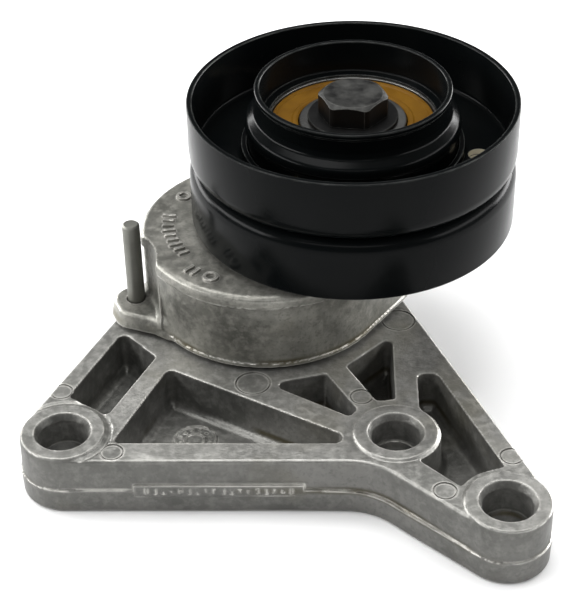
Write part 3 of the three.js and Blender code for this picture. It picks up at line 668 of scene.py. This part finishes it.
def seal(node, side):
    """A rubber lip seal on its steel washer, with a shallow dish and a raised lip at the bore."""
    low, high = node_heights(node)
    inner, outer = 14.9, node_radius(node)
    face, back = (high, low) if side > 0 else (low, high)
    profile = [(inner, back, 0.1), (outer, back, 0.1), (outer, face, 0.35), (outer - 1.0, face, 0.3),
               (outer - 1.5, face - side * 0.35, 0.3), (inner + 1.9, face - side * 0.35, 0.3),
               (inner + 1.4, face, 0.25), (inner + 0.5, face, 0.3), (inner, face - side * 0.3, 0.15)]
    if side < 0:
        profile = profile[::-1]
    return lathe(node + "_moulded", profile, "ochre_seal", "pulley", node)


def race_arc(middle, start, end, steps=10):
    """Points of a ball groove, as corners with no rounding."""
    pitch_radius, radius = 18, 5.0
    turn = [math.radians(start + (end - start) * k / steps) for k in range(steps + 1)]
    return [(pitch_radius + radius * math.cos(a), middle + radius * math.sin(a), 0) for a in turn]


def outer_ring():
    bottom, top = node_heights("bearing_outer_ring")
    radius = node_radius("bearing_outer_ring")
    seat, shoulder, depth = 22.5, 21.4, 2
    profile = [(seat, bottom, 0.2), (radius, bottom, 0.8), (radius, top, 0.8), (seat, top, 0.2),
               (seat, top - depth, 0), (shoulder, top - depth, 0.1), *race_arc((bottom + top) / 2, 47, -47),
               (shoulder, bottom + depth, 0.1), (seat, bottom + depth, 0)]
    return lathe("bearing_outer_race", profile, "bearing_steel", "pulley", "bearing_outer_ring")


def inner_ring():
    bottom, top = node_heights("bearing_inner_ring")
    bore, shoulder = 10, node_radius("bearing_inner_ring")
    profile = [(bore, bottom, 0.5), (shoulder, bottom, 0.4), *race_arc((bottom + top) / 2, 227, 133),
               (shoulder, top, 0.4), (bore, top, 0.5)]
    return lathe("bearing_inner_race", profile, "bearing_steel", "arm", "bearing_inner_ring")


def plain_ring(name, node, inner, edge, slot, body):
    bottom, top = node_heights(node)
    return lathe(name, ring_profile(inner, node_radius(node), bottom, top, edge), slot, body, node)


def lock_pin():
    bottom, top = node_heights("lock_pin")
    radius = node_radius("lock_pin")
    profile = [(0, bottom, 0), (radius, bottom, 0.5), (radius, top - 0.5, 0.1), (radius - 0.5, top, 0.1),
               (0, top, 0)]
    return lathe("lock_pin_rod", profile, "pin_steel", "pin", "lock_pin", facets=64, sharp_degrees=25)


def pulley_bolt():
    """Hexagon head with a turned crown on a plain shank."""
    tip, top = node_heights("pulley_bolt")
    under = node_heights("bolt_washer")[1] + 0.05
    half_flats, turn = 8.5, math.radians(-8)
    crown, slope = half_flats - 0.35, math.tan(math.radians(28))
    shank, tip_radius, tip_height = 4.9, 4.2, 0.9
    facets = 120
    angle = math.tau * np.arange(facets) / facets
    fold = np.mod(angle - turn, math.tau / 6) - math.tau / 12
    edge = half_flats / np.cos(fold)
    corner = half_flats / math.cos(math.tau / 12) - 0.35
    edge = np.minimum(edge, corner)
    at = np.array(PULLEY_AXIS)
    loops = [(np.zeros(facets), tip), (np.full(facets, tip_radius), tip),
             (np.full(facets, shank), tip + tip_height), (np.full(facets, shank), under),
             (edge - 0.25, under), (edge, under + 0.25)]
    drop = np.maximum(edge - crown, 0) * slope
    loops += [(edge, top - drop - 0.12), (edge - 0.1, top - drop), (np.full(facets, crown - 0.1), top),
              (np.full(facets, crown - 1.4), top), (np.full(facets, crown - 1.9), top - 0.12),
              (np.zeros(facets), top - 0.12)]
    vertices, faces = [], []
    for radius, z in loops:
        x, y = at[0] + radius * np.cos(angle), at[1] + radius * np.sin(angle)
        vertices.append(np.stack([x, y, np.zeros(facets) + z], 1))
    vertices = np.concatenate(vertices)
    for i in range(len(loops) - 1):
        for k in range(facets):
            n = (k + 1) % facets
            faces.append([i * facets + k, i * facets + n, (i + 1) * facets + n, (i + 1) * facets + k])
    piece = piece_from("pulley_bolt_forged", vertices, faces, "black_bolt", "arm", "pulley_bolt")
    weld(piece)
    shade(piece, 24)
    return piece


def weld(piece):
    """Joins the points of a loop that has shrunk to one place."""
    work = bmesh.new()
    work.from_mesh(piece.data)
    bmesh.ops.remove_doubles(work, verts=work.verts, dist=1e-7)
    bmesh.ops.dissolve_degenerate(work, edges=work.edges, dist=1e-7)
    work.to_mesh(piece.data)
    work.free()


# ---- materials ----

def srgb(*values):
    """A display colour of 0 to 255 as the linear colour that a shader takes."""
    linear = [(v / 255 / 12.92) if v <= 10 else ((v / 255 + 0.055) / 1.055) ** 2.4 for v in values]
    return (*linear, 1)


class Look:
    """A node material under construction."""

    def __init__(self, name):
        self.material = bpy.data.materials.new(name)
        self.material.use_nodes = True
        self.tree = self.material.node_tree
        self.shader = self.tree.nodes["Principled BSDF"]
        self.place = self.add("ShaderNodeTexCoord").outputs["Object"]

    def add(self, kind, **settings):
        node = self.tree.nodes.new(kind)
        for key, value in settings.items():
            setattr(node, key, value)
        return node

    def link(self, source, target):
        """Feeds an input from an output, or sets it to a plain value."""
        if hasattr(source, "is_output"):
            self.tree.links.new(source, target)
        else:
            target.default_value = source

    def noise(self, scale, detail=4, roughness=0.55, stretch=None):
        node = self.add("ShaderNodeTexNoise")
        place = self.place
        if stretch:
            mapping = self.add("ShaderNodeMapping")
            mapping.inputs["Scale"].default_value = stretch
            self.link(place, mapping.inputs["Vector"])
            place = mapping.outputs[0]
        self.link(place, node.inputs["Vector"])
        node.inputs["Scale"].default_value = scale
        node.inputs["Detail"].default_value = detail
        node.inputs["Roughness"].default_value = roughness
        return node.outputs["Fac"]

    def math(self, operation, a, b=0.0):
        node = self.add("ShaderNodeMath", operation=operation)
        self.link(a, node.inputs[0])
        self.link(b, node.inputs[1])
        return node.outputs[0]

    def ramp(self, value, low, high, to_low=0.0, to_high=1.0):
        node = self.add("ShaderNodeMapRange", clamp=True)
        self.link(value, node.inputs["Value"])
        for key, number in zip(("From Min", "From Max", "To Min", "To Max"), (low, high, to_low, to_high)):
            node.inputs[key].default_value = number
        return node.outputs["Result"]

    def mix(self, factor, a, b):
        node = self.add("ShaderNodeMix", data_type="RGBA")
        self.link(factor, node.inputs["Factor"])
        self.link(a, node.inputs["A"])
        self.link(b, node.inputs["B"])
        return node.outputs["Result"]

    def edges(self, radius):
        """About 1 on convex edges that the given radius reaches, and 0 on flats."""
        bevel = self.add("ShaderNodeBevel", samples=6)
        bevel.inputs["Radius"].default_value = radius
        geometry = self.add("ShaderNodeNewGeometry")
        dot = self.add("ShaderNodeVectorMath", operation="DOT_PRODUCT")
        self.link(bevel.outputs[0], dot.inputs[0])
        self.link(geometry.outputs["Normal"], dot.inputs[1])
        return self.ramp(dot.outputs["Value"], 0.998, 0.95)

    def hollows(self, distance):
        """1 in the open, and towards 0 in corners and pockets."""
        node = self.add("ShaderNodeAmbientOcclusion", samples=8, only_local=True)
        node.inputs["Distance"].default_value = distance
        return node.outputs["AO"]

    def upward(self):
        """0 on walls, and 1 on faces that look up."""
        parts = self.add("ShaderNodeSeparateXYZ")
        self.link(self.add("ShaderNodeNewGeometry").outputs["Normal"], parts.inputs[0])
        return self.ramp(parts.outputs["Z"], 0.2, 0.8)

    def bump(self, height, strength, distance, under=None):
        node = self.add("ShaderNodeBump")
        node.inputs["Strength"].default_value = strength
        node.inputs["Distance"].default_value = distance
        self.link(height, node.inputs["Height"])
        if under is not None:
            self.link(under, node.inputs["Normal"])
        return node.outputs["Normal"]

    def finish(self, **inputs):
        for key, value in inputs.items():
            self.link(value, self.shader.inputs[key.replace("_", " ")])
        return self.material


def cast_aluminium(name, base, dark, light, stain, wall_shade, dirt_line):
    """Die-cast aluminium: mottling, fine pitting, edges lightened as rubbed metal and as painted highlights,
    painted shade on walls in the open, painted shade in the hollows, and a broken brown line of dirt at a
    height."""
    look = Look(name)
    cloud = look.noise(38, 5, 0.6)
    fine = look.noise(420, 3, 0.6)
    grain = look.noise(1500, 2, 0.5)
    colour = look.mix(look.ramp(cloud, 0.36, 0.64), dark, base)
    colour = look.mix(look.math("MULTIPLY", look.ramp(fine, 0.45, 0.65), 0.4), colour, light)
    specks = look.ramp(look.noise(800, 3, 0.7), 0.5, 0.34, 0, 0.45)
    colour = look.mix(specks, colour, dark)
    blotch = look.ramp(look.noise(24, 3, 0.65), 0.57, 0.72, 0, 0.38)
    colour = look.mix(blotch, colour, stain)
    level = look.add("ShaderNodeSeparateXYZ")
    look.link(look.place, level.inputs[0])
    away = look.math("ABSOLUTE", look.math("SUBTRACT", level.outputs["Z"], dirt_line))
    patches = look.ramp(look.noise(34, 3), 0.47, 0.6, 0, 0.85)
    broken_line = look.math("MULTIPLY", look.ramp(away, 0.0013, 0.0003), patches)
    colour = look.mix(broken_line, colour, srgb(86, 78, 52))
    open_air, upward = look.hollows(0.014), look.upward()
    # painted shade: walls that face sideways in the open are darkened towards grey by wall_shade, for the
    # light they miss
    painted_wall_shade = look.math("MULTIPLY", look.ramp(upward, 1, 0, 0, wall_shade), look.ramp(open_air, 0.5, 0.85))
    colour = look.mix(painted_wall_shade, colour, srgb(40, 40, 38))
    # painted shade: faces in hollows and pockets, mostly floors, are darkened towards grey where little light
    # reaches
    painted_hollow_shade = look.math("MULTIPLY", look.ramp(open_air, 0.98, 0.3), look.ramp(upward, 0, 1, 0.25, 0.8))
    colour = look.mix(painted_hollow_shade, colour, srgb(40, 40, 37))
    # rubbed edges, partly painted highlight: convex edges are lightened towards near white, as worn metal and
    # as the light they catch
    edge = look.math("MULTIPLY", look.edges(0.0009), look.ramp(look.noise(160, 3), 0.3, 0.6, 0.25, 0.9))
    colour = look.mix(edge, colour, srgb(210, 208, 202))
    rough = look.ramp(fine, 0.3, 0.7, 0.34, 0.5)
    pits = look.bump(grain, 0.4, 0.00012)
    normal = look.bump(look.noise(300, 4, 0.7), 0.6, 0.00025, pits)
    return look.finish(Base_Color=colour, Roughness=rough, Metallic=0.7, Normal=normal)


def painted_black(name):
    """Semi-gloss black paint on pressed steel, with faint orange peel and thin rims lightened as rubbed paint
    and as painted highlights.
    """
    look = Look(name)
    cloud = look.noise(60, 4)
    colour = look.mix(look.ramp(cloud, 0.3, 0.7), srgb(6, 8, 9), srgb(10, 12, 12))
    # rims lightened towards grey as rubbed paint and as painted highlight, kept off rims in hollows where
    # little light reaches
    edge = look.math("MULTIPLY", look.edges(0.0004), look.ramp(look.noise(220, 3), 0.35, 0.6, 0.3, 1))
    edge = look.math("MULTIPLY", edge, look.ramp(look.hollows(0.012), 0.65, 0.9))
    colour = look.mix(edge, colour, srgb(128, 130, 128))
    rough = look.ramp(look.noise(140, 4), 0.3, 0.7, 0.17, 0.25)
    normal = look.bump(look.noise(900, 2), 0.05, 0.0001)
    look.shader.inputs["Specular IOR Level"].default_value = 0.065
    return look.finish(Base_Color=colour, Roughness=rough, Normal=normal)


def oxide_black(name, base, rubbed, rough_low, rough_high):
    """Blackened steel, lighter and patchy on the faces that look up in the open, and with edges lightened as
    rubbed steel and as painted highlights.
    """
    look = Look(name)
    cloud = look.noise(200, 4)
    # faces that look up in the open are lighter and patchy, so the top reads lighter than the sides
    lighter_on_top = look.math("MULTIPLY", look.upward(), look.ramp(look.hollows(0.012), 0.7, 0.9))
    colour = look.mix(lighter_on_top, base, look.mix(look.ramp(cloud, 0.35, 0.65), base, rubbed))
    # edges lightened towards grey, as rubbed steel and as painted highlight
    edge = look.math("MULTIPLY", look.edges(0.0004), look.ramp(look.noise(500, 3), 0.35, 0.6, 0.2, 0.7))
    colour = look.mix(edge, colour, srgb(120, 120, 116))
    rough = look.ramp(look.noise(320, 3), 0.3, 0.7, rough_low, rough_high)
    normal = look.bump(look.noise(900, 3, 0.6), 0.35, 0.00015)
    look.shader.inputs["Specular IOR Level"].default_value = 0.2
    return look.finish(Base_Color=colour, Roughness=rough, Metallic=0.2, Normal=normal)


def ground_steel(name, base, dark, rough_low, rough_high, metal=0.9):
    """Turned or ground steel with fine circumferential lines and a soft variation."""
    look = Look(name)
    colour = look.mix(look.ramp(look.noise(90, 4), 0.3, 0.7), dark, base)
    lines = look.noise(60, 3, 0.6, stretch=(1, 1, 40))
    rough = look.ramp(lines, 0.3, 0.7, rough_low, rough_high)
    normal = look.bump(lines, 0.12, 0.00008)
    return look.finish(Base_Color=colour, Roughness=rough, Metallic=metal, Normal=normal)


def rubber(name, base, dark):
    look = Look(name)
    colour = look.mix(look.ramp(look.noise(120, 4), 0.3, 0.7), dark, base)
    rough = look.ramp(look.noise(240, 3), 0.3, 0.7, 0.45, 0.62)
    normal = look.bump(look.noise(700, 3), 0.15, 0.0001)
    look.shader.inputs["Specular IOR Level"].default_value = 0.12
    return look.finish(Base_Color=colour, Roughness=rough, Normal=normal)


def floor_paper():
    look = Look("studio_paper")
    colour = look.mix(look.noise(6, 3), srgb(244, 244, 244), srgb(248, 248, 248))
    return look.finish(Base_Color=colour, Roughness=0.9)


def dress(piece, *materials):
    """Gives a piece its materials, and keeps which face has which."""
    faces = piece.data.polygons
    chosen = np.zeros(len(faces), np.int32)
    faces.foreach_get("material_index", chosen)
    piece.data.materials.clear()
    for material in materials:
        piece.data.materials.append(material)
    faces.foreach_set("material_index", np.minimum(chosen, len(materials) - 1))


# ---- stage, light and camera ----

# The camera, in metres and solved from the photo's circles and level edges.
CAMERA_PLACE = Vector((0.016846, -0.386902, 0.298585))
CAMERA_TARGET = Vector((0.005816, -0.001117, 0.017))
CAMERA_ROLL = math.radians(-1.076)
LENS_MM, SENSOR_MM = 99.66, 36


def camera():
    data = bpy.data.cameras.new("camera")
    data.lens = LENS_MM
    data.sensor_width = SENSOR_MM
    data.clip_start = 0.01
    made = bpy.data.objects.new("camera", data)
    bpy.context.scene.collection.objects.link(made)
    aim = (CAMERA_TARGET - CAMERA_PLACE).to_track_quat("-Z", "Y")
    made.location = CAMERA_PLACE
    made.rotation_mode = "QUATERNION"
    made.rotation_quaternion = aim @ Quaternion((0, 0, 1), CAMERA_ROLL)
    bpy.context.scene.camera = made


def softbox(name, place, target, width, height, power):
    data = bpy.data.lights.new(name, "AREA")
    data.shape = "RECTANGLE"
    data.size, data.size_y, data.energy = width, height, power
    made = bpy.data.objects.new(name, data)
    bpy.context.scene.collection.objects.link(made)
    made.location = place
    made.rotation_mode = "QUATERNION"
    made.rotation_quaternion = (Vector(target) - Vector(place)).to_track_quat("-Z", "Y")


def studio():
    half = 3.0
    mesh = bpy.data.meshes.new("floor")
    under = -0.0002  # a hair below the bracket's face, so the two never lie in one plane
    corners = [(-half, -half, under), (half, -half, under), (half, half, under), (-half, half, under)]
    mesh.from_pydata(corners, [], [(0, 1, 2, 3)])
    floor = bpy.data.objects.new("floor", mesh)
    bpy.context.scene.collection.objects.link(floor)
    dress(floor, floor_paper())
    world = bpy.data.worlds.new("studio")
    bpy.context.scene.world = world
    world.use_nodes = True
    background = world.node_tree.nodes["Background"]
    background.inputs["Color"].default_value = (1, 1, 1, 1)
    background.inputs["Strength"].default_value = 0.16
    middle = (0.0, -0.03, 0.03)
    softbox("left_softbox", (-0.75, -0.1, 0.42), middle, 0.75, 0.22, 5.6)
    softbox("right_softbox", (0.75, -0.1, 0.42), middle, 0.75, 0.22, 2.8)
    softbox("top_softbox", (-0.1, 0.15, 0.95), middle, 0.9, 0.7, 9.2)
    softbox("front_softbox", (-0.1, -0.75, 0.85), middle, 1.0, 0.12, 1.4)
    softbox("back_left_softbox", (-0.72, 0.55, 0.22), middle, 0.65, 0.26, 8.0)
    softbox("back_right_softbox", (0.72, 0.55, 0.22), middle, 0.65, 0.26, 9.5)
    bpy.context.scene.view_settings.view_transform = "Standard"


# ---- the object ----

def dress_all(pieces):
    looks = {
        "bracket_cast": cast_aluminium("bracket_cast", srgb(152, 151, 147), srgb(112, 112, 108),
                                       srgb(178, 177, 172), srgb(128, 122, 98), 0.5, PARTING_Z * MM),
        "arm_cast": cast_aluminium("arm_cast", srgb(154, 153, 146), srgb(96, 96, 90),
                                   srgb(172, 170, 162), srgb(126, 120, 96), 0, (LUG_BOTTOM + 1.6) * MM),
        "black_paint": painted_black("black_paint"),
        "black_bolt": oxide_black("black_bolt", srgb(14, 14, 14), srgb(62, 62, 60), 0.4, 0.55),
        "bright_steel": ground_steel("bright_steel", srgb(170, 170, 168), srgb(140, 140, 138), 0.25, 0.4),
        "bearing_steel": ground_steel("bearing_steel", srgb(150, 150, 148), srgb(110, 110, 108), 0.22, 0.36),
        "spring_steel": ground_steel("spring_steel", srgb(70, 70, 72), srgb(50, 50, 52), 0.35, 0.5),
        "pin_steel": ground_steel("pin_steel", srgb(126, 126, 120), srgb(104, 104, 98), 0.36, 0.5, 0.7),
        "cage_steel": ground_steel("cage_steel", srgb(150, 148, 140), srgb(120, 118, 112), 0.3, 0.45),
        "ochre_seal": rubber("ochre_seal", srgb(122, 86, 18), srgb(98, 66, 12)),
        "bush_polymer": rubber("bush_polymer", srgb(196, 190, 170), srgb(180, 174, 154)),
        "damping_polymer": rubber("damping_polymer", srgb(84, 82, 76), srgb(66, 64, 60)),
    }
    washer_black = oxide_black("washer_black", srgb(12, 12, 12), srgb(26, 26, 26), 0.4, 0.55)
    # bare steel of the hole walls, in a pale cream, non-metallic colour painted in as the glint of light on
    # them
    bare_edge_glint = ground_steel("bare_edge_glint", srgb(236, 228, 206), srgb(214, 206, 184), 0.45, 0.6, 0.0)
    for piece in pieces:
        if piece.name == "bolt_washer_turned":
            dress(piece, washer_black)
        elif piece.name.endswith("_shell_pressing"):
            dress(piece, looks[piece["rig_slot"]], bare_edge_glint)
        else:
            dress(piece, looks[piece["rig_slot"]])
    for entry in frame["record"]["subparts"]:
        dress(frame["nodes"][entry["node"]], looks[entry["material_slot"]])


def build():
    pieces = [
        bracket_casting(),
        casting("swing_arm_casting", "arm_casting", arm_field, 70000, "arm_cast", "arm"),
        pulley_shell("upper_shell", 1),
        pulley_shell("lower_shell", -1),
        hub_cup(),
        seal("front_seal", 1),
        seal("rear_seal", -1),
        outer_ring(),
        inner_ring(),
        plain_ring("bolt_washer_turned", "bolt_washer", 5.2, 0.3, "black_bolt", "arm"),
        plain_ring("bearing_sleeve_turned", "bearing_sleeve", 5.0, 0.3, "bright_steel", "arm"),
        plain_ring("rear_dust_shield_turned", "rear_dust_shield", 10.1, 0.2, "bright_steel", "arm"),
        lock_pin(),
        pulley_bolt(),
    ]
    dress_all(pieces)


camera()
studio()
build()
